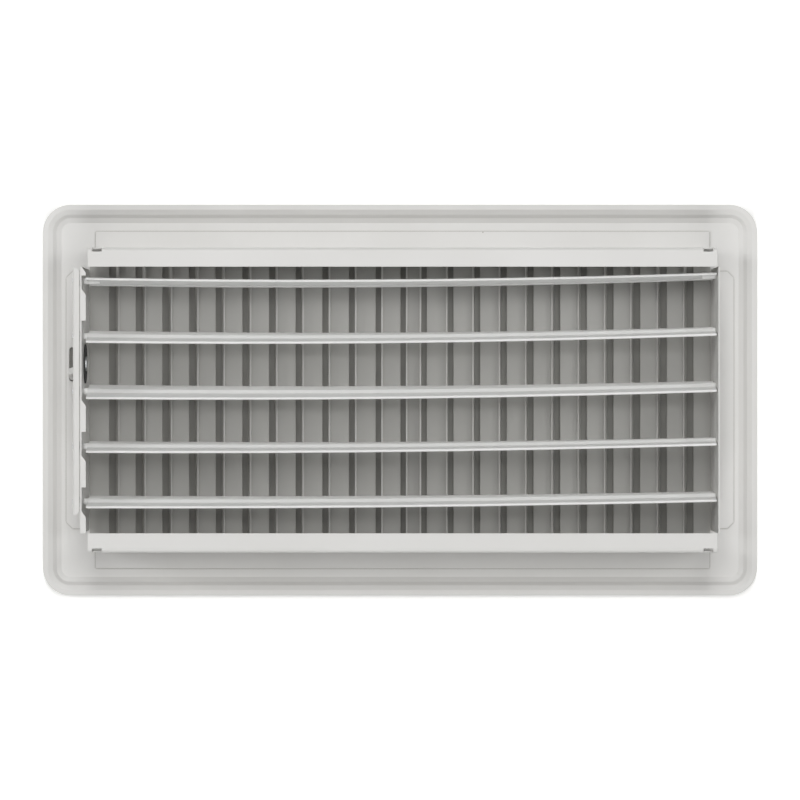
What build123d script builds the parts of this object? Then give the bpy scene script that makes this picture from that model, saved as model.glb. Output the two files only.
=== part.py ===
from build123d import *
import math
import os

# Floor register with a finned face, a shallow rear box and five linked damper blades.
# The register lies face down: X runs along its length, Z points to its rear, millimetres.

# Face plate
FACE_LENGTH = 342.0
FACE_WIDTH = 187.0
FACE_CORNER_RADIUS = 13.0
FACE_SHEET = 0.8
RIM_LIP = 3.4
RIM_SLOPE = 3.6
RIM_RISE = 3.0
RIM_BEND = 1.3
END_MARGIN = 22.1
SIDE_MARGIN = 22.2

# Slots and turned fins of the face
FIN_PITCH = 12.8
FIRST_FIN = 9.7
FIN_FIELD_OFFSET = 0.6
CENTRE_SLOT_OFFSET = 0.95
SLOT_OPENING = 2.5
SLOT_END_MARGIN = 2.6
FIN_END_MARGIN = 6.0
FIN_HEIGHT = 3.9
FIN_TILT_FIRST = 2.0
FIN_TILT_STEP = 3.1
FIN_BEND_RADIUS = 0.8
FIN_ROOT_OVERLAP = 0.3

# Rear box
BOX_DEPTH = 50.8
WALL_SHEET = 0.7
WALL_BEND_RADIUS = 1.6
WALL_FOOT = 9.4
WALL_LIP = 9.0
WALL_GAP_LEFT = 2.9
WALL_GAP_RIGHT = 0.5
BEND_NOTCH_LENGTH = 4.5
BEND_NOTCH_DEPTH = 1.9
BEND_NOTCH_INSET = 2.0
END_PLATE_MARGIN = 8.9
END_PLATE_SETBACK = 1.3
END_FOOT = 10.4
END_FOOT_SETBACK = 0.8
END_FOOT_CHAMFER = 3.0

# Inward stiffening tabs along the rear edge of the left end plate
TAB_REACH = 2.0
TAB_ABOVE_BLADE = 7.0
TAB_BELOW_BLADE = 4.1
TAB_SLANT = 2.9
TOP_TAB_LENGTH = 4.2

# Damper blades, each with its own tilt at the left and right ends
BLADE_LEFT_TILTS = [-5.0, 12.0, 14.0, 10.1, 10.2]
BLADE_RIGHT_TILTS = [-4.0, 8.1, 9.9, 5.8, 7.7]
BLADE_ROW_MARGIN = 11.2
BLADE_ROW_OFFSET = 5.4
BLADE_CLOSED_GAP = 1.5
BLADE_SHEET = 0.6
BLADE_PIVOT_BELOW_REAR = 18.8
BLADE_END_GAP_LEFT = 1.5
BLADE_END_GAP_RIGHT = 0.4
BLADE_CLOSING_TURN = 72.0
BEAD_BASE = 8.0
BEAD_TOP = 3.2
BEAD_HEIGHT = 1.1
HEM_WIDTH = 2.5
HEM_THICKNESS = 1.2
HEM_NOSE = 0.35
FIRST_BLADE_SAG = 2.0
BLADE_SAG_STEP = 0.25
BLADE_END_RISE = 2.6
TRUNNION_DIAMETER = 3.0
TRUNNION_ROOT = 6.0
TRUNNION_TIP = 1.0
BEARING_CLEARANCE = 0.1

# Cranks and linkage bar
CRANK_RADIUS = 4.5
CRANK_WIDTH = 4.8
CRANK_THICKNESS = 1.2
CRANK_PIN_DIAMETER = 2.4
CRANK_PIN_TIP = 1.0
CRANK_BORE_CLEARANCE = 0.05
LAYER_GAP = 0.4
BAR_SHEET = 0.8
BAR_BEND_RADIUS = 0.9
BAR_LAYER_GAP = 1.2
BAR_EDGE_BELOW_PINS = 2.5
BAR_BACK_ABOVE_PINS = 11.1
BAR_END_BEYOND_PINS = 5.8
BAR_CORNER_RADIUS = 2.2
BAR_HOLE_CLEARANCE = 0.15

# Operating lever
LEVER_BELOW_PIVOTS = 2.0
LEVER_SHEET = 1.5
LEVER_HUB_DIAMETER = 11.0
LEVER_REAR_ARM = 11.0
LEVER_REAR_WIDTH = 4.4
LEVER_TIP_WIDTH = 3.0
LEVER_HALF_TURN = 11.8
LEVER_TIP_CLEARANCE = 0.3
LEVER_JOGGLE_TOP = 22.0
LEVER_JOGGLE_BOTTOM = 12.0
LEVER_JOGGLE_RADIUS = 2.0
LEVER_SLOT_OFFSET = 7.7
LEVER_SLOT_CLEARANCE = 0.6
DRIVE_PIN_DIAMETER = 2.4
DRIVE_PIN_TIP = 0.4
DRIVE_SLOT_CLEARANCE = 0.08
RIVET_SHANK = 4.0
RIVET_HEAD_DIAMETER = 7.0
RIVET_HEAD_HEIGHT = 0.5
RIVET_CLEARANCE = 0.15
RIVET_FIT = 0.05
WASHER_DIAMETER = 18.5
WASHER_THICKNESS = 0.5

# Derived sizes and places
BOX_LENGTH = FACE_LENGTH - 2 * END_MARGIN
BOX_WIDTH = FACE_WIDTH - 2 * SIDE_MARGIN
BOX_CLEAR_WIDTH = BOX_WIDTH - 2 * WALL_SHEET
SLOT_LENGTH = BOX_CLEAR_WIDTH - 2 * SLOT_END_MARGIN
FIN_FIELD = BOX_LENGTH / 2 - FIN_END_MARGIN - SLOT_OPENING - FIRST_FIN
FINS_PER_SIDE = int(FIN_FIELD / FIN_PITCH) + 1
END_PLATE_WIDTH = BOX_WIDTH - 2 * END_PLATE_MARGIN
END_FOOT_WIDTH = END_PLATE_WIDTH - 2 * END_FOOT_SETBACK
BLADE_COUNT = len(BLADE_LEFT_TILTS)
BLADE_PITCH = (BOX_CLEAR_WIDTH - BLADE_ROW_MARGIN) / BLADE_COUNT
BLADE_WIDTH = BLADE_PITCH - BLADE_CLOSED_GAP
BLADE_PIVOT_HEIGHT = BOX_DEPTH - BLADE_PIVOT_BELOW_REAR
END_INNER = BOX_LENGTH / 2
END_OUTER = END_INNER + WALL_SHEET
PLATE_TOP = BOX_DEPTH - END_PLATE_SETBACK
FOOT_MIDDLE = FACE_SHEET + WALL_SHEET / 2
BLADE_LEFT_END = BLADE_END_GAP_LEFT - END_INNER
BLADE_RIGHT_END = END_INNER - BLADE_END_GAP_RIGHT
PIVOTS = [BLADE_ROW_OFFSET + BLADE_PITCH * ((BLADE_COUNT - 1) / 2 - k) for k in range(BLADE_COUNT)]
LEFT_PIVOTS = [y - BLADE_END_RISE / 2 for y in PIVOTS]
RIGHT_PIVOTS = [y + BLADE_END_RISE / 2 for y in PIVOTS]
CRANK_FACE = -(END_OUTER + LAYER_GAP)
CRANK_BACK = CRANK_FACE - CRANK_THICKNESS
LEVER_MIDDLE = CRANK_FACE - LEVER_SHEET / 2
LEVER_BACK = CRANK_FACE - LEVER_SHEET
BAR_FACE = CRANK_BACK - BAR_LAYER_GAP
BAR_BACK = BAR_FACE - BAR_SHEET
PIN_HEIGHT = BLADE_PIVOT_HEIGHT + CRANK_RADIUS
LEVER_Y = (LEFT_PIVOTS[1] + LEFT_PIVOTS[2]) / 2
LEVER_HEIGHT = BLADE_PIVOT_HEIGHT - LEVER_BELOW_PIVOTS
LEVER_FRONT_ARM = LEVER_HEIGHT - LEVER_TIP_CLEARANCE
LEVER_SLOT_STATION = END_OUTER + LEVER_SLOT_OFFSET


def sheet(path, thickness, plane, length):
    """A folded sheet: its middle line, given thickness and carried evenly both ways from the plane."""
    section = plane * trace(path, thickness)
    return extrude(section, length / 2, both=True)


def rod(diameter, start, end, y, z):
    """A round rod along X between two stations."""
    length = abs(end - start)
    return Pos((start + end) / 2, y, z) * Rot(0, 90, 0) * Cylinder(diameter / 2, length)


def block(x0, x1, y0, y1, z0, z1):
    """A box between two corners, used for slots and notches."""
    centre = Pos((x0 + x1) / 2, (y0 + y1) / 2, (z0 + z1) / 2)
    return centre * Box(abs(x1 - x0), abs(y1 - y0), abs(z1 - z0))


def outline(inset, height):
    """The rounded outline of the face, set in all round, at one height."""
    radius = FACE_CORNER_RADIUS - inset
    return Pos(0, 0, height) * RectangleRounded(FACE_LENGTH - 2 * inset, FACE_WIDTH - 2 * inset, radius)


def rim_profile():
    """Inset and height of the front of the rim: flat field, bend, slope, bend and flat lip."""
    slope = math.atan2(RIM_RISE, RIM_SLOPE)
    run = RIM_BEND * math.cos(slope)
    rise = RIM_BEND * math.sin(slope)
    return [
        (RIM_LIP + RIM_SLOPE + RIM_BEND, 0),
        (RIM_LIP + RIM_SLOPE - run, rise),
        (RIM_LIP + run, RIM_RISE - rise),
        (RIM_LIP - RIM_BEND, RIM_RISE),
    ]


def lever_slot(bottom, height):
    """The slot through the face and the foot below it, as long as the swing of the lever tip."""
    swing = LEVER_FRONT_ARM * math.sin(math.radians(LEVER_HALF_TURN))
    half_length = swing + LEVER_TIP_WIDTH / 2 + LEVER_SLOT_CLEARANCE
    half_width = LEVER_SHEET / 2 + LEVER_SLOT_CLEARANCE
    opening = SlotOverall(2 * half_length, 2 * half_width, rotation=90)
    return Pos(-LEVER_SLOT_STATION, LEVER_Y, bottom) * extrude(opening, height)


def bend_start(root, side, tilt):
    """Where the fin's bend leaves the flat sheet, on the centre side of the slot."""
    run = FIN_BEND_RADIUS * math.tan(math.radians(90 + tilt) / 2)
    return root - side * (run + FIN_ROOT_OVERLAP)


def fin(root, side, tilt):
    """One fin, bent up from the centre side of its slot and leaning towards the centre."""
    turn = math.radians(tilt)
    start = bend_start(root, side, tilt)
    lean_x = -side * math.sin(turn)
    lean_z = math.cos(turn)
    tip = (root + FIN_HEIGHT * lean_x, FIN_HEIGHT * lean_z)
    inner_tip = (tip[0] - side * FACE_SHEET * lean_z, tip[1] - FACE_SHEET * math.sin(turn))
    crook = root - side * FACE_SHEET * (1 / lean_z + math.tan(turn))
    flat_end = (start + side * FIN_ROOT_OVERLAP, 0)
    run = abs(root - flat_end[0])
    bend_end = (root + run * lean_x, run * lean_z)
    section = Polyline((start, 0), flat_end, bend_end, tip, inner_tip, (crook, FACE_SHEET),
                       (start, FACE_SHEET), close=True)
    return extrude(Plane.XZ * make_face(section), SLOT_LENGTH / 2, both=True)


def slot_cut(root, side, tilt):
    """The opening of one slot, cut back to where the fin's bend leaves the sheet."""
    inner = bend_start(root, side, tilt)
    outer = root + side * SLOT_OPENING
    return block(inner, outer, -SLOT_LENGTH / 2, SLOT_LENGTH / 2, -FACE_SHEET, 2 * FACE_SHEET)


def face_plate():
    """Stamped face: flat field, sloped shoulder, flat rim lip, graded fins and the lever slot."""
    front = rim_profile()
    shift = FACE_SHEET * math.tan(math.atan2(RIM_RISE, RIM_SLOPE) / 2)
    rear = [(inset + shift, height + FACE_SHEET) for inset, height in front]
    outside = loft([outline(*point) for point in front], ruled=True)
    hollow = loft([outline(*point) for point in rear], ruled=True)
    lip = extrude(outline(0, RIM_RISE), FACE_SHEET)
    plate = outside + lip - hollow
    stations = [(FIN_FIELD_OFFSET + CENTRE_SLOT_OFFSET + SLOT_OPENING / 2, -1, 0.0)]
    for side in (-1, 1):
        for k in range(FINS_PER_SIDE):
            root = FIN_FIELD_OFFSET + side * (FIRST_FIN + FIN_PITCH * k)
            stations.append((root, side, FIN_TILT_FIRST + FIN_TILT_STEP * k))
    plate = plate - [slot_cut(*station) for station in stations]
    plate = plate + [fin(*station) for station in stations]
    return plate - lever_slot(-FACE_SHEET, 3 * FACE_SHEET)


def long_wall(side):
    """Long wall of the box: foot on the face, upright web and a lip turned in at the rear."""
    web = BOX_WIDTH / 2 - WALL_SHEET / 2
    lip_height = BOX_DEPTH - WALL_SHEET / 2
    points = [
        (side * (BOX_WIDTH / 2 + WALL_FOOT), FOOT_MIDDLE),
        (side * web, FOOT_MIDDLE),
        (side * web, lip_height),
        (side * (BOX_WIDTH / 2 - WALL_LIP), lip_height),
    ]
    path = FilletPolyline(*points, radius=WALL_BEND_RADIUS)
    left = WALL_GAP_LEFT - END_INNER
    right = END_INNER - WALL_GAP_RIGHT
    wall = Pos((left + right) / 2, 0, 0) * sheet(path, WALL_SHEET, Plane.YZ, right - left)
    for end, tip in ((-1, left), (1, right)):
        outer = tip - end * BEND_NOTCH_INSET
        inner = outer - end * BEND_NOTCH_LENGTH
        near = side * (BOX_WIDTH / 2 - BEND_NOTCH_DEPTH)
        far = side * (BOX_WIDTH / 2 + WALL_SHEET)
        floor = BOX_DEPTH - 2 * WALL_BEND_RADIUS
        wall = wall - block(inner, outer, near, far, floor, BOX_DEPTH + WALL_SHEET)
    return wall


def end_plate(side):
    """End plate with its outward foot and the bearing holes of the blades."""
    middle = END_INNER + WALL_SHEET / 2
    foot_end = END_OUTER + END_FOOT
    web_path = Line((side * middle, FOOT_MIDDLE + WALL_BEND_RADIUS), (side * middle, PLATE_TOP))
    web = sheet(web_path, WALL_SHEET, Plane.XZ, END_PLATE_WIDTH)
    foot_points = [
        (side * middle, FOOT_MIDDLE + 2 * WALL_BEND_RADIUS),
        (side * middle, FOOT_MIDDLE),
        (side * foot_end, FOOT_MIDDLE),
    ]
    foot_path = FilletPolyline(*foot_points, radius=WALL_BEND_RADIUS)
    foot = sheet(foot_path, WALL_SHEET, Plane.XZ, END_FOOT_WIDTH)
    corners = foot.edges().filter_by(Axis.Z).group_by(Axis.X)[-1 if side > 0 else 0]
    plate = web + chamfer(corners, END_FOOT_CHAMFER)
    bearing = TRUNNION_DIAMETER + 2 * BEARING_CLEARANCE
    reach = 2 * WALL_SHEET
    pivots = RIGHT_PIVOTS if side > 0 else LEFT_PIVOTS
    near = side * (middle - reach)
    far = side * (middle + reach)
    return plate - [rod(bearing, near, far, y, BLADE_PIVOT_HEIGHT) for y in pivots]


def rear_tab(low, high):
    """Inward tab on the left end plate's rear edge: square below, slanted above."""
    root = -END_OUTER
    tip = -END_INNER + TAB_REACH
    outline = Polyline((root, low), (tip, low), (tip, high - TAB_SLANT), (root + WALL_SHEET, high),
                       (root, high), close=True)
    return Pos(0, 0, PLATE_TOP - WALL_SHEET) * extrude(make_face(outline), WALL_SHEET)


def end_plate_left():
    """Left end plate: rear tabs between the blades, the rivet hole and the lever slot in its foot."""
    plate = end_plate(-1)
    half = END_PLATE_WIDTH / 2
    lows = [y + TAB_ABOVE_BLADE for y in LEFT_PIVOTS[1:]] + [-half]
    highs = [y - TAB_BELOW_BLADE for y in LEFT_PIVOTS]
    gaps = [(low, high) for low, high in zip(lows, highs) if not low < LEVER_Y < high]
    gaps.append((half - TOP_TAB_LENGTH, half))
    plate = plate + [rear_tab(low, high) for low, high in gaps]
    hole = RIVET_SHANK + 2 * RIVET_FIT
    plate = plate - rod(hole, -END_OUTER - WALL_SHEET, -END_INNER + WALL_SHEET, LEVER_Y, LEVER_HEIGHT)
    return plate - lever_slot(0, FACE_SHEET + 2 * WALL_SHEET)


def blade_section(beaded):
    """Section of a blade across its width: flat sheet, pressed middle bead and a hem at each edge."""
    skin = BLADE_SHEET / 2
    edge = BLADE_WIDTH / 2
    under = skin - HEM_THICKNESS
    half = [
        (edge - HEM_NOSE, skin),
        (edge, skin - HEM_NOSE),
        (edge, under + HEM_NOSE),
        (edge - HEM_NOSE, under),
        (edge - HEM_WIDTH, under),
        (edge - HEM_WIDTH, -skin),
    ]
    if beaded:
        front_side = [(BEAD_TOP / 2, BEAD_HEIGHT + skin), (BEAD_BASE / 2, skin)]
        back_side = [(BEAD_BASE / 2, -skin), (BEAD_TOP / 2, BEAD_HEIGHT - skin)]
        half = front_side + half + back_side
    other_half = [(-u, v) for u, v in reversed(half)]
    return make_face(Polyline(*half, *other_half, close=True))


def damper_blade(k):
    """One blade, bowed by its sag and twisted by its end tilts, with a round stub at each end. The
    first blade is plain, the others are beaded; each rises towards the right end."""
    y = PIVOTS[k]
    sag = FIRST_BLADE_SAG - BLADE_SAG_STEP * k
    left_tilt = BLADE_LEFT_TILTS[k]
    right_tilt = BLADE_RIGHT_TILTS[k]
    stations = [
        (BLADE_LEFT_END, y, left_tilt),
        ((BLADE_LEFT_END + BLADE_RIGHT_END) / 2, y - sag, (left_tilt + right_tilt) / 2),
        (BLADE_RIGHT_END, y, right_tilt),
    ]
    sections = []
    for x, middle, tilt in stations:
        lean = math.radians(tilt)
        towards_rear = (0, -math.sin(lean), math.cos(lean))
        plane = Plane((x, middle, BLADE_PIVOT_HEIGHT), x_dir=towards_rear, z_dir=(-1, 0, 0))
        sections.append(plane * blade_section(k > 0))
    blade = loft(sections)
    left_root = BLADE_LEFT_END + TRUNNION_ROOT
    right_root = BLADE_RIGHT_END - TRUNNION_ROOT
    blade = blade + rod(TRUNNION_DIAMETER, left_root, CRANK_BACK, y, BLADE_PIVOT_HEIGHT)
    blade = blade + rod(TRUNNION_DIAMETER, right_root, END_OUTER + TRUNNION_TIP, y, BLADE_PIVOT_HEIGHT)
    skew = math.degrees(math.atan2(BLADE_END_RISE, BOX_LENGTH))
    return blade.rotate(Axis((0, y, 0), (0, 0, 1)), skew)


def damper_crank(k):
    """Crank arm on a blade's left stub, with its pin through the linkage bar."""
    y = LEFT_PIVOTS[k]
    plane = Plane((CRANK_FACE, y, BLADE_PIVOT_HEIGHT), x_dir=(0, 0, 1), z_dir=(-1, 0, 0))
    outline = Pos(CRANK_RADIUS / 2, 0) * SlotCenterToCenter(CRANK_RADIUS, CRANK_WIDTH)
    arm = extrude(plane * outline, CRANK_THICKNESS)
    bore = TRUNNION_DIAMETER + 2 * CRANK_BORE_CLEARANCE
    near = CRANK_FACE + CRANK_THICKNESS
    far = CRANK_BACK - CRANK_THICKNESS
    arm = arm - rod(bore, near, far, y, BLADE_PIVOT_HEIGHT)
    return arm + rod(CRANK_PIN_DIAMETER, CRANK_FACE, BAR_BACK - CRANK_PIN_TIP, y, PIN_HEIGHT)


def drive_pin_place(swing):
    """Place of the lever's drive pin in Y and Z, for the lever's turn from its middle position."""
    turn = math.radians(swing)
    return (LEVER_Y - LEVER_REAR_ARM * math.sin(turn), LEVER_HEIGHT + LEVER_REAR_ARM * math.cos(turn))


def drive_slot():
    """Slot of the bar that takes the drive pin, as large as the pin's path seen from the bar."""
    steps = 24
    ys = []
    zs = []
    for i in range(steps + 1):
        share = i / steps
        turn = math.radians(BLADE_CLOSING_TURN * share)
        y, z = drive_pin_place(LEVER_HALF_TURN * (2 * share - 1))
        ys.append(y + CRANK_RADIUS * math.sin(turn))
        zs.append(z + CRANK_RADIUS * (1 - math.cos(turn)))
    margin = DRIVE_PIN_DIAMETER / 2 + DRIVE_SLOT_CLEARANCE
    width = max(ys) - min(ys) + 2 * margin
    length = max(zs) - min(zs) + 2 * margin
    plane = Plane((BAR_FACE + BAR_SHEET, (max(ys) + min(ys)) / 2, (max(zs) + min(zs)) / 2),
                  x_dir=(0, 0, 1), z_dir=(-1, 0, 0))
    return extrude(plane * RectangleRounded(length, width, margin), 3 * BAR_SHEET)


def linkage_bar():
    """Folded strip with a web for the crank pins and a back that faces the rear."""
    web_x = BAR_FACE - BAR_SHEET / 2
    back_z = PIN_HEIGHT + BAR_BACK_ABOVE_PINS - BAR_SHEET / 2
    points = [(web_x, PIN_HEIGHT - BAR_EDGE_BELOW_PINS), (web_x, back_z), (CRANK_FACE, back_z)]
    path = FilletPolyline(*points, radius=BAR_BEND_RADIUS)
    length = LEFT_PIVOTS[0] - LEFT_PIVOTS[-1] + 2 * BAR_END_BEYOND_PINS
    bar = Pos(0, (LEFT_PIVOTS[0] + LEFT_PIVOTS[-1]) / 2, 0) * sheet(path, BAR_SHEET, Plane.XZ, length)
    back_corners = bar.edges().filter_by(Axis.Z).group_by(Axis.X)[-1]
    bar = fillet(back_corners, BAR_CORNER_RADIUS)
    web_corners = bar.edges().filter_by(Axis.X).group_by(Axis.Z)[0]
    bar = fillet(web_corners, BAR_CORNER_RADIUS)
    hole = CRANK_PIN_DIAMETER + 2 * BAR_HOLE_CLEARANCE
    near = BAR_FACE + BAR_SHEET
    far = BAR_BACK - BAR_SHEET
    bar = bar - [rod(hole, near, far, y, PIN_HEIGHT) for y in LEFT_PIVOTS]
    return bar - drive_slot()


def operating_lever():
    """Lever on its rivet: round hub, rear arm with the drive pin, joggled front arm into the face slot."""
    plane = Plane((CRANK_FACE, LEVER_Y, LEVER_HEIGHT), x_dir=(0, 0, 1), z_dir=(-1, 0, 0))
    rear_arm = Pos(LEVER_REAR_ARM / 2, 0) * SlotCenterToCenter(LEVER_REAR_ARM, LEVER_REAR_WIDTH)
    lever = extrude(plane * (Circle(LEVER_HUB_DIAMETER / 2) + rear_arm), LEVER_SHEET)
    points = [
        (LEVER_MIDDLE, LEVER_HEIGHT),
        (LEVER_MIDDLE, LEVER_JOGGLE_TOP),
        (-LEVER_SLOT_STATION, LEVER_JOGGLE_BOTTOM),
        (-LEVER_SLOT_STATION, LEVER_TIP_CLEARANCE),
    ]
    front_path = FilletPolyline(*points, radius=LEVER_JOGGLE_RADIUS)
    lever = lever + Pos(0, LEVER_Y, 0) * sheet(front_path, LEVER_SHEET, Plane.XZ, LEVER_TIP_WIDTH)
    pin_z = LEVER_HEIGHT + LEVER_REAR_ARM
    lever = lever + rod(DRIVE_PIN_DIAMETER, CRANK_FACE, BAR_BACK - DRIVE_PIN_TIP, LEVER_Y, pin_z)
    bore = RIVET_SHANK + 2 * RIVET_CLEARANCE
    lever = lever - rod(bore, CRANK_FACE + LEVER_SHEET, LEVER_BACK - LEVER_SHEET, LEVER_Y, LEVER_HEIGHT)
    return lever.rotate(Axis((0, LEVER_Y, LEVER_HEIGHT), (1, 0, 0)), -LEVER_HALF_TURN)


def lever_rivet():
    """Rivet through washer, end plate and lever, with a low head at each side."""
    inside = -END_INNER + WASHER_THICKNESS
    outside = LEVER_BACK - RIVET_CLEARANCE
    shank = rod(RIVET_SHANK, inside, outside, LEVER_Y, LEVER_HEIGHT)
    inner_head = rod(RIVET_HEAD_DIAMETER, inside, inside + RIVET_HEAD_HEIGHT, LEVER_Y, LEVER_HEIGHT)
    outer_head = rod(RIVET_HEAD_DIAMETER, outside, outside - RIVET_HEAD_HEIGHT, LEVER_Y, LEVER_HEIGHT)
    return shank + inner_head + outer_head


def friction_washer():
    """Flat washer under the rivet's inner head, which holds the lever where it is set."""
    inside = -END_INNER + WASHER_THICKNESS
    disc = rod(WASHER_DIAMETER, -END_INNER, inside, LEVER_Y, LEVER_HEIGHT)
    hole = RIVET_SHANK + 2 * RIVET_FIT
    return disc - rod(hole, -END_INNER - WASHER_THICKNESS, inside + WASHER_THICKNESS, LEVER_Y, LEVER_HEIGHT)


def main():
    """Build every piece and write it to its own file."""
    pieces = {
        "face_plate": face_plate(),
        "long_wall_upper": long_wall(1),
        "long_wall_lower": long_wall(-1),
        "end_plate_left": end_plate_left(),
        "end_plate_right": end_plate(1),
        "linkage_bar": linkage_bar(),
        "operating_lever": operating_lever(),
        "lever_rivet": lever_rivet(),
        "friction_washer": friction_washer(),
    }
    for k in range(BLADE_COUNT):
        pieces[f"damper_blade_{k + 1}"] = damper_blade(k)
        pieces[f"damper_crank_{k + 1}"] = damper_crank(k)
    os.makedirs("parts", exist_ok=True)
    for name, shape in pieces.items():
        export_step(shape, f"parts/{name}.step")


main()
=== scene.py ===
"""Floor register: paint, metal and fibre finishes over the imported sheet-metal pieces, and a plain stage."""
import math

import bpy
import numpy as np
from mathutils import Matrix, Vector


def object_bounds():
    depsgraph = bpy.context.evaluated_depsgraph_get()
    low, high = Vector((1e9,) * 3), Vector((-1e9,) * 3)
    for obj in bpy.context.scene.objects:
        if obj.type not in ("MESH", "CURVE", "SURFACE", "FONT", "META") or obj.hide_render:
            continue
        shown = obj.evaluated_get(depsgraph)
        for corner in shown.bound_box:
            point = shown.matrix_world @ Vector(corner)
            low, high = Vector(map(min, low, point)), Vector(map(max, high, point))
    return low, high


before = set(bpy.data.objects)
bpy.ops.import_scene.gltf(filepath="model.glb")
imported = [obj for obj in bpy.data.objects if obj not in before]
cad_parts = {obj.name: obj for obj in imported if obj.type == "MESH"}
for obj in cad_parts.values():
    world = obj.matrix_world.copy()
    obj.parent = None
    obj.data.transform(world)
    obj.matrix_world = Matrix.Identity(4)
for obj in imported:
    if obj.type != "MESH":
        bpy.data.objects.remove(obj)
CAD_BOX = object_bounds()

bl_info = {
    "name": "Floor Register",
    "version": (1, 0, 0),
    "blender": (4, 5, 0),
    "location": "3D View > Sidebar > Register",
    "description": "Finishes a stamped floor register and sets its stage",
    "category": "Object",
}

MM = 0.001
WHITE = (1.0, 1.0, 1.0, 1.0)
# Soft boxes: power in watts, lean from overhead and turn about Z in degrees, length in metres
LAMPS = {
    "key_box": (19.0, 13.0, 0.0, 1.2),
    "rake_box": (12.0, 42.0, 0.0, 0.7),
    "fill_box": (20.0, 48.0, 180.0, 1.0),
    "left_box": (13.0, 60.0, 78.0, 0.7),
    "right_box": (9.5, 45.0, -78.0, 0.7),
}
LAMP_DISTANCE = 2.4
LAMP_WIDTH = 0.7
# Inside of the box, half its length and width
BOX_HALVES = (148.9 * MM, 70.6 * MM)
# Middle of the face's sheet, and the heights over which the painted shade on the fins fades out
SHEET_MIDDLE = 0.4 * MM
FIN_SHADE_FADE = (0.9 * MM, 7.0 * MM)
# Radius to which the coat rounds the edges, and how far the painted shade in seams and inner corners reaches
EDGE_ROUNDING = 0.35 * MM
CORNER_SHADE_REACH = 1.2 * MM
# Floor: half its side, its drop below the face, how far the rim overhangs the part painted dark as shade
# under the face, and the distances from the middle between which it turns white
FLOOR_HALF = 2.0
FLOOR_DROP = 0.2 * MM
RIM_OVERHANG = 4.5 * MM
GLOW_REACH = (200.0 * MM, 500.0 * MM)
BOX_PIECES = ["long_wall_upper", "long_wall_lower", "end_plate_left", "end_plate_right"]
BLADES = [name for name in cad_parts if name.startswith("damper_blade")]
CRANKS = [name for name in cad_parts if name.startswith("damper_crank")]


def linear(hex_colour):
    """Linear RGBA of an sRGB hex colour: each channel c becomes ((c + 0.055) / 1.055) ** 2.4."""
    channels = [int(hex_colour[i:i + 2], 16) / 255 for i in (1, 3, 5)]
    values = [c / 12.92 if c <= 0.04045 else ((c + 0.055) / 1.055) ** 2.4 for c in channels]
    return (*values, 1.0)


def add(tree, kind, links=None, **settings):
    """Add one node: settings are its attributes or input values, links are its inputs' sources."""
    node = tree.nodes.new(kind)
    for key, value in settings.items():
        if key in node.bl_rna.properties:
            setattr(node, key, value)
        else:
            node.inputs[key.replace("_", " ")].default_value = value
    for name, source in (links or {}).items():
        tree.links.new(source, node.inputs[name])
    return node


def new_material(name):
    """An empty node material with its output, Object coordinates and shader."""
    material = bpy.data.materials.new(name)
    material.use_nodes = True
    tree = material.node_tree
    tree.nodes.clear()
    output = add(tree, "ShaderNodeOutputMaterial")
    shader = add(tree, "ShaderNodeBsdfPrincipled")
    tree.links.new(shader.outputs["BSDF"], output.inputs["Surface"])
    place = add(tree, "ShaderNodeTexCoord").outputs["Object"]
    return material, tree, shader, place


def per_metre(size_mm):
    """Texture scale whose features are about size_mm across."""
    return 1.0 / (size_mm * MM)


def beyond(tree, place, half_length, half_width):
    """0 over a rectangle about the middle and 1 outside it: the larger of |x| / half length and
    |y| / half width, compared with 1."""
    parts = add(tree, "ShaderNodeSeparateXYZ", {"Vector": place})
    reach = []
    for axis, half in (("X", half_length), ("Y", half_width)):
        size = add(tree, "ShaderNodeMath", {0: parts.outputs[axis]}, operation="ABSOLUTE")
        share = add(tree, "ShaderNodeMath", {0: size.outputs[0]}, operation="DIVIDE")
        share.inputs[1].default_value = half
        reach.append(share.outputs[0])
    larger = add(tree, "ShaderNodeMath", {0: reach[0], 1: reach[1]}, operation="MAXIMUM")
    outside = add(tree, "ShaderNodeMath", {0: larger.outputs[0]}, operation="GREATER_THAN")
    outside.inputs[1].default_value = 1.0
    return outside.outputs[0]


def seen_white(tree):
    """1 for what the camera sees directly, in a reflection or through a clear piece, else 0."""
    rays = add(tree, "ShaderNodeLightPath")
    direct = add(tree, "ShaderNodeMath", {0: rays.outputs["Is Camera Ray"],
                                          1: rays.outputs["Is Glossy Ray"]}, operation="MAXIMUM")
    seen = add(tree, "ShaderNodeMath", {0: direct.outputs[0],
                                        1: rays.outputs["Is Transmission Ray"]}, operation="MAXIMUM")
    return seen.outputs[0]


def clear_of_inside_shade(tree, place):
    """1 on the front of the face and round the box, 0 on the flat rear of the face inside the box, where the
    painted shade lies, and from there a share that grows with the height of the fins, so the painted shade
    fades out up them."""
    parts = add(tree, "ShaderNodeSeparateXYZ", {"Vector": place})
    front = add(tree, "ShaderNodeMath", {0: parts.outputs["Z"]}, operation="LESS_THAN")
    front.inputs[1].default_value = SHEET_MIDDLE
    fins = add(tree, "ShaderNodeMapRange", {"Value": parts.outputs["Z"]},
               From_Min=FIN_SHADE_FADE[0], From_Max=FIN_SHADE_FADE[1])
    proud = add(tree, "ShaderNodeMath", {0: front.outputs[0], 1: fins.outputs["Result"]},
                operation="MAXIMUM")
    reached = add(tree, "ShaderNodeMath", {0: proud.outputs[0], 1: beyond(tree, place, *BOX_HALVES)},
                  operation="MAXIMUM")
    return reached.outputs[0]


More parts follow.
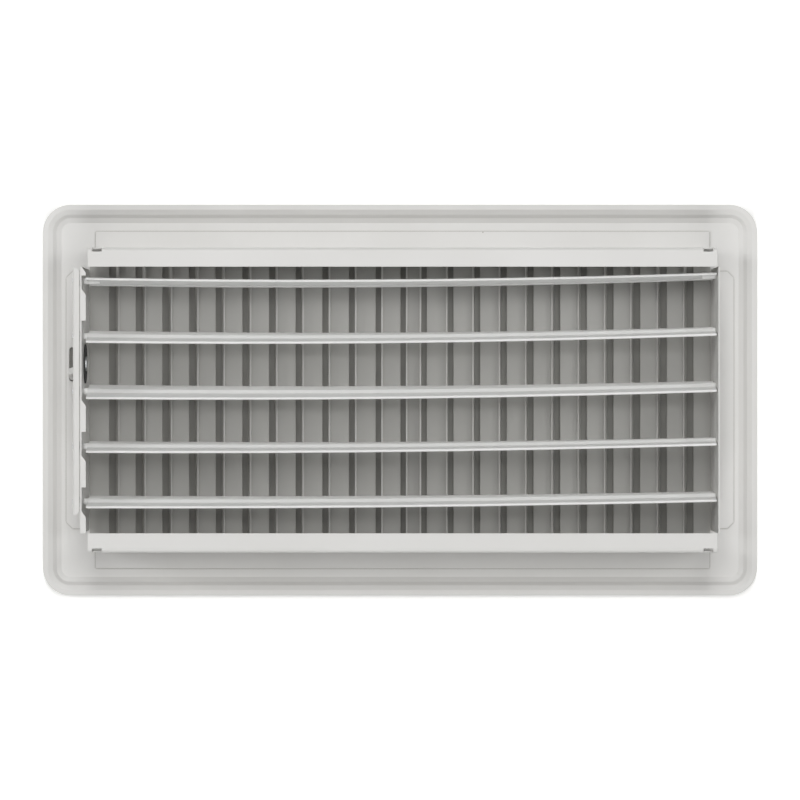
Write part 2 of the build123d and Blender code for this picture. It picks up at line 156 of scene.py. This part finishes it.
def baked_enamel(name, pale, deep, speck, corner_shade, inside_shade=None):
    """Sprayed and baked polyester enamel on steel sheet: semi-gloss, faintly cloudy, with fine
    orange peel, a few specks of dust caught in the coat, and edges that the coat rounds off. A darker
    line of painted shade lies in the seams and inner corners. With an inside tone, painted shade
    greys the flat of the face inside the box and fades out up the fins."""
    material, tree, shader, place = new_material(name)
    cloud = add(tree, "ShaderNodeTexNoise", {"Vector": place}, Scale=per_metre(45.0), Detail=3.0)
    tone = add(tree, "ShaderNodeMix", {"Factor": cloud.outputs["Fac"]}, data_type="RGBA",
               A=linear(pale), B=linear(deep))
    dust = add(tree, "ShaderNodeTexVoronoi", {"Vector": place}, Scale=per_metre(9.0))
    spot = add(tree, "ShaderNodeMapRange", {"Value": dust.outputs["Distance"]},
               From_Min=0.03, From_Max=0.05, To_Min=1.0, To_Max=0.0)
    chance = add(tree, "ShaderNodeMath", {0: dust.outputs["Color"]}, operation="GREATER_THAN")
    chance.inputs[1].default_value = 0.72
    speckle = add(tree, "ShaderNodeMath", {0: spot.outputs["Result"], 1: chance.outputs[0]},
                  operation="MULTIPLY")
    coat = add(tree, "ShaderNodeMix", {"Factor": speckle.outputs[0], "A": tone.outputs["Result"]},
               data_type="RGBA", B=linear(speck))
    # Painted shade: the rear of the face inside the box takes the darker inside tone, fading out up the fins
    if inside_shade:
        coat = add(tree, "ShaderNodeMix", {"Factor": clear_of_inside_shade(tree, place), "B": coat.outputs["Result"]},
                   data_type="RGBA", A=linear(inside_shade))
    # Painted shade: where ambient occlusion finds seams and inner corners, the colour darkens towards the
    # seam shade tone
    corner = add(tree, "ShaderNodeAmbientOcclusion", Distance=CORNER_SHADE_REACH, samples=8)
    unshaded_share = add(tree, "ShaderNodeMapRange", {"Value": corner.outputs["AO"]},
                     From_Min=0.45, From_Max=0.9)
    colour = add(tree, "ShaderNodeMix", {"Factor": unshaded_share.outputs["Result"],
                                         "B": coat.outputs["Result"]}, data_type="RGBA", A=linear(corner_shade))
    tree.links.new(colour.outputs["Result"], shader.inputs["Base Color"])
    gloss = add(tree, "ShaderNodeMapRange", {"Value": cloud.outputs["Fac"]}, To_Min=0.34, To_Max=0.46)
    tree.links.new(gloss.outputs["Result"], shader.inputs["Roughness"])
    edge = add(tree, "ShaderNodeBevel", Radius=EDGE_ROUNDING, samples=6)
    peel = add(tree, "ShaderNodeTexNoise", {"Vector": place}, Scale=per_metre(1.6), Detail=2.0)
    bump = add(tree, "ShaderNodeBump", {"Height": peel.outputs["Fac"], "Normal": edge.outputs["Normal"]},
               Strength=0.12, Distance=0.05 * MM)
    tree.links.new(bump.outputs["Normal"], shader.inputs["Normal"])
    return material


def coil_coat(name, pale, deep):
    """Polyester rolled on to steel strip before the blades are pressed: a smooth, even satin white,
    with faint streaks along the strip and edges that the coat rounds off."""
    material, tree, shader, place = new_material(name)
    along = add(tree, "ShaderNodeMapping", {"Vector": place}, Scale=(0.02, 1.0, 1.0))
    streaks = add(tree, "ShaderNodeTexNoise", {"Vector": along.outputs["Vector"]},
                  Scale=per_metre(2.0), Detail=2.0)
    tone = add(tree, "ShaderNodeMix", {"Factor": streaks.outputs["Fac"]}, data_type="RGBA",
               A=linear(pale), B=linear(deep))
    tree.links.new(tone.outputs["Result"], shader.inputs["Base Color"])
    shader.inputs["Roughness"].default_value = 0.5
    edge = add(tree, "ShaderNodeBevel", Radius=EDGE_ROUNDING, samples=6)
    tree.links.new(edge.outputs["Normal"], shader.inputs["Normal"])
    return material


def zinc_plate(name, bright, dull):
    """Zinc-plated steel, tumbled after pressing: a grey metal with a fine mottled sheen."""
    material, tree, shader, place = new_material(name)
    mottle = add(tree, "ShaderNodeTexNoise", {"Vector": place}, Scale=per_metre(1.2), Detail=4.0)
    tone = add(tree, "ShaderNodeMix", {"Factor": mottle.outputs["Fac"]}, data_type="RGBA",
               A=linear(bright), B=linear(dull))
    tree.links.new(tone.outputs["Result"], shader.inputs["Base Color"])
    shader.inputs["Metallic"].default_value = 1.0
    gloss = add(tree, "ShaderNodeMapRange", {"Value": mottle.outputs["Fac"]}, To_Min=0.3, To_Max=0.5)
    tree.links.new(gloss.outputs["Result"], shader.inputs["Roughness"])
    return material


def vulcanised_fibre(name, dark, worn):
    """Black vulcanised fibre, punched from sheet: dull, with short pale strands pressed into it."""
    material, tree, shader, place = new_material(name)
    stretch = add(tree, "ShaderNodeMapping", {"Vector": place}, Scale=(1.0, 0.2, 1.0))
    strands = add(tree, "ShaderNodeTexNoise", {"Vector": stretch.outputs["Vector"]},
                  Scale=per_metre(0.5), Detail=5.0)
    tone = add(tree, "ShaderNodeMix", {"Factor": strands.outputs["Fac"]}, data_type="RGBA",
               A=linear(dark), B=linear(worn))
    tree.links.new(tone.outputs["Result"], shader.inputs["Base Color"])
    shader.inputs["Roughness"].default_value = 0.8
    bump = add(tree, "ShaderNodeBump", {"Height": strands.outputs["Fac"]}, Strength=0.25, Distance=0.05 * MM)
    tree.links.new(bump.outputs["Normal"], shader.inputs["Normal"])
    return material


def dress(names, material):
    """Give each named CAD node the material in its first slot."""
    for name in names:
        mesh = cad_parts[name].data
        mesh.materials.clear()
        mesh.materials.append(material)


class RegisterFinish(bpy.types.PropertyGroup):
    """Colours of the register's finishes."""
    enamel_pale: bpy.props.StringProperty(
        name="Enamel, pale", description="Lighter tone of the enamel", default="#D8D7D5")
    enamel_deep: bpy.props.StringProperty(
        name="Enamel, deep", description="Darker tone of the enamel", default="#D1D0CD")
    coil_pale: bpy.props.StringProperty(
        name="Blade coat, pale", description="Lighter tone of the blades' coat", default="#EDEDEC")
    coil_deep: bpy.props.StringProperty(
        name="Blade coat, deep", description="Darker tone of the blades' coat", default="#E7E7E5")
    enamel_speck: bpy.props.StringProperty(
        name="Specks", description="Dust specks caught in the enamel", default="#A9A69F")
    # Tone of the painted shade in the seams and inner corners
    enamel_corner_shade: bpy.props.StringProperty(
        name="Seam shade", description="Coat in the seams and inner corners", default="#A3A19B")
    # Tone of the painted shade on the rear of the face inside the box
    enamel_inside_shade: bpy.props.StringProperty(
        name="Inside shade", description="Coat on the rear of the face, inside the box", default="#A5A4A0")
    zinc_bright: bpy.props.StringProperty(
        name="Zinc, bright", description="Lighter tone of the plating", default="#C9CBCC")
    zinc_dull: bpy.props.StringProperty(
        name="Zinc, dull", description="Darker tone of the plating", default="#A3A6A8")
    fibre_dark: bpy.props.StringProperty(
        name="Fibre", description="Body of the fibre washer", default="#121212")
    fibre_worn: bpy.props.StringProperty(
        name="Fibre strands", description="Strands in the fibre washer", default="#262524")


class RegisterStage(bpy.types.PropertyGroup):
    """Camera, light and floor round the register."""
    camera_height: bpy.props.FloatProperty(
        name="Camera height", description="Height of the camera above the floor",
        default=1.916, unit="LENGTH")
    field: bpy.props.FloatProperty(
        name="Field", description="Width of floor that the camera sees", default=0.384, unit="LENGTH")
    light: bpy.props.FloatProperty(
        name="Light", description="Level of all the soft boxes", default=1.0, min=0.0)
    veil: bpy.props.FloatProperty(
        name="Floor glow", description="White that the floor adds near the register, which keeps its shadow",
        default=0.3, min=0.0, max=1.0)
    sky: bpy.props.FloatProperty(
        name="Sky", description="Strength of the even light from all round", default=0.024)
    floor_colour: bpy.props.StringProperty(
        name="Floor", description="Colour of the pale floor", default="#F4F4F2")
    # Dark tone painted as shade on the floor under the face, seen through the slots
    shaded_floor_colour: bpy.props.StringProperty(
        name="Shaded floor", description="Colour of the floor that the face covers", default="#8A8985")


class FinishSheetPieces(bpy.types.Operator):
    """Paint the face, the box and the moving sheet pieces"""
    bl_idname = "floor_register.finish_sheet"
    bl_label = "Paint the sheet pieces"

    def execute(self, context):
        look = context.scene.register_finish
        enamel = baked_enamel("baked_enamel", look.enamel_pale, look.enamel_deep, look.enamel_speck,
                              look.enamel_corner_shade)
        dress(BOX_PIECES + ["linkage_bar", "operating_lever"], enamel)
        face = baked_enamel("face_enamel", look.enamel_pale, look.enamel_deep, look.enamel_speck,
                            look.enamel_corner_shade, look.enamel_inside_shade)
        dress(["face_plate"], face)
        dress(BLADES, coil_coat("coil_coated_steel", look.coil_pale, look.coil_deep))
        return {"FINISHED"}


class FinishHardware(bpy.types.Operator):
    """Plate the cranks and the rivet"""
    bl_idname = "floor_register.finish_hardware"
    bl_label = "Plate the cranks and rivet"

    def execute(self, context):
        look = context.scene.register_finish
        dress(CRANKS + ["lever_rivet"], zinc_plate("zinc_plated_steel", look.zinc_bright, look.zinc_dull))
        return {"FINISHED"}


class FinishWasher(bpy.types.Operator):
    """Give the friction washer its black fibre"""
    bl_idname = "floor_register.finish_washer"
    bl_label = "Finish the washer"

    def execute(self, context):
        look = context.scene.register_finish
        dress(["friction_washer"], vulcanised_fibre("vulcanised_fibre", look.fibre_dark, look.fibre_worn))
        return {"FINISHED"}


class SetStage(bpy.types.Operator):
    """Lay the floor, hang the lamps and set the camera"""
    bl_idname = "floor_register.set_stage"
    bl_label = "Set the stage"

    def execute(self, context):
        scene = context.scene
        stage = scene.register_stage
        self.lay_floor(stage)
        self.light_world(scene, stage)
        for name, (power, lean, turn, length) in LAMPS.items():
            self.hang_lamp(scene, name, power * stage.light, math.radians(lean), math.radians(turn), length)
        camera_data = bpy.data.cameras.new("photo_camera")
        camera_data.lens = camera_data.sensor_width * stage.camera_height / stage.field
        camera = bpy.data.objects.new("photo_camera", camera_data)
        camera.location = (0.0, 0.0, stage.camera_height)
        scene.collection.objects.link(camera)
        scene.camera = camera
        scene.view_settings.view_transform = "Standard"
        return {"FINISHED"}

    def lay_floor(self, stage):
        """A flat square sheet of floor just below the face: x = u, y = v, z = constant. It glows white
        further off, and only a little near the register, so that the shadow stays."""
        side = np.array([-FLOOR_HALF, FLOOR_HALF])
        u, v = np.meshgrid(side, side)
        points = np.stack([u.ravel(), v.ravel(), np.full(4, -FLOOR_DROP)], axis=1)
        mesh = bpy.data.meshes.new("floor")
        mesh.from_pydata(points.tolist(), [], [(0, 1, 3, 2)])
        floor = bpy.data.objects.new("floor", mesh)
        bpy.context.scene.collection.objects.link(floor)
        material, tree, shader, place = new_material("pale_floor")
        shader.inputs["Roughness"].default_value = 0.9
        outside = beyond(tree, place, CAD_BOX[1][0] - RIM_OVERHANG, CAD_BOX[1][1] - RIM_OVERHANG)
        # Painted shade: the floor under the face takes the dark shaded-floor colour
        tone = add(tree, "ShaderNodeMix", {"Factor": outside}, data_type="RGBA",
                   A=linear(stage.shaded_floor_colour), B=linear(stage.floor_colour))
        tree.links.new(tone.outputs["Result"], shader.inputs["Base Color"])
        away = add(tree, "ShaderNodeVectorMath", {0: place}, operation="LENGTH")
        veil = add(tree, "ShaderNodeMapRange", {"Value": away.outputs["Value"]},
                   From_Min=GLOW_REACH[0], From_Max=GLOW_REACH[1], To_Min=stage.veil)
        glow = add(tree, "ShaderNodeMath", {0: seen_white(tree), 1: outside}, operation="MULTIPLY")
        glow = add(tree, "ShaderNodeMath", {0: glow.outputs[0], 1: veil.outputs["Result"]},
                   operation="MULTIPLY")
        shader.inputs["Emission Color"].default_value = WHITE
        tree.links.new(glow.outputs[0], shader.inputs["Emission Strength"])
        mesh.materials.append(material)

    def hang_lamp(self, scene, name, power, lean, turn, length):
        """A soft box aimed at the register: it leans from overhead towards +Y, and is then turned
        about Z. Its length lies along the lean."""
        lamp_data = bpy.data.lights.new(name, "AREA")
        lamp_data.shape = "RECTANGLE"
        lamp_data.size = LAMP_WIDTH
        lamp_data.size_y = length
        lamp_data.energy = power
        lamp = bpy.data.objects.new(name, lamp_data)
        place = Matrix.Rotation(-lean, 4, "X") @ Matrix.Translation((0.0, 0.0, LAMP_DISTANCE))
        lamp.matrix_world = Matrix.Rotation(turn, 4, "Z") @ place
        scene.collection.objects.link(lamp)

    def light_world(self, scene, stage):
        """Even pale light from all round, white where it is seen."""
        world = bpy.data.worlds.new("studio")
        scene.world = world
        world.use_nodes = True
        tree = world.node_tree
        tree.nodes.clear()
        output = add(tree, "ShaderNodeOutputWorld")
        strength = add(tree, "ShaderNodeMapRange", {"Value": seen_white(tree)}, To_Min=stage.sky)
        light = add(tree, "ShaderNodeBackground", {"Strength": strength.outputs["Result"]}, Color=WHITE)
        tree.links.new(light.outputs["Background"], output.inputs["Surface"])


class RegisterPanel(bpy.types.Panel):
    """Sidebar panel with the register's steps"""
    bl_idname = "VIEW3D_PT_floor_register"
    bl_label = "Floor register"
    bl_space_type = "VIEW_3D"
    bl_region_type = "UI"
    bl_category = "Register"

    def draw(self, context):
        for operator in OPERATORS:
            self.layout.operator(operator.bl_idname)
        for group in (context.scene.register_finish, context.scene.register_stage):
            for key in group.__annotations__:
                self.layout.prop(group, key)


OPERATORS = (FinishSheetPieces, FinishHardware, FinishWasher, SetStage)
CLASSES = (RegisterFinish, RegisterStage, *OPERATORS, RegisterPanel)


def register():
    """Register the classes and hang the settings on the scene."""
    for item in CLASSES:
        bpy.utils.register_class(item)
    bpy.types.Scene.register_finish = bpy.props.PointerProperty(type=RegisterFinish)
    bpy.types.Scene.register_stage = bpy.props.PointerProperty(type=RegisterStage)


def unregister():
    """Take the settings and the classes away again."""
    del bpy.types.Scene.register_stage
    del bpy.types.Scene.register_finish
    for item in reversed(CLASSES):
        bpy.utils.unregister_class(item)


def main():
    """Run each step in order."""
    register()
    bpy.ops.floor_register.finish_sheet()
    bpy.ops.floor_register.finish_hardware()
    bpy.ops.floor_register.finish_washer()
    bpy.ops.floor_register.set_stage()


if __name__ == "__main__":
    main()
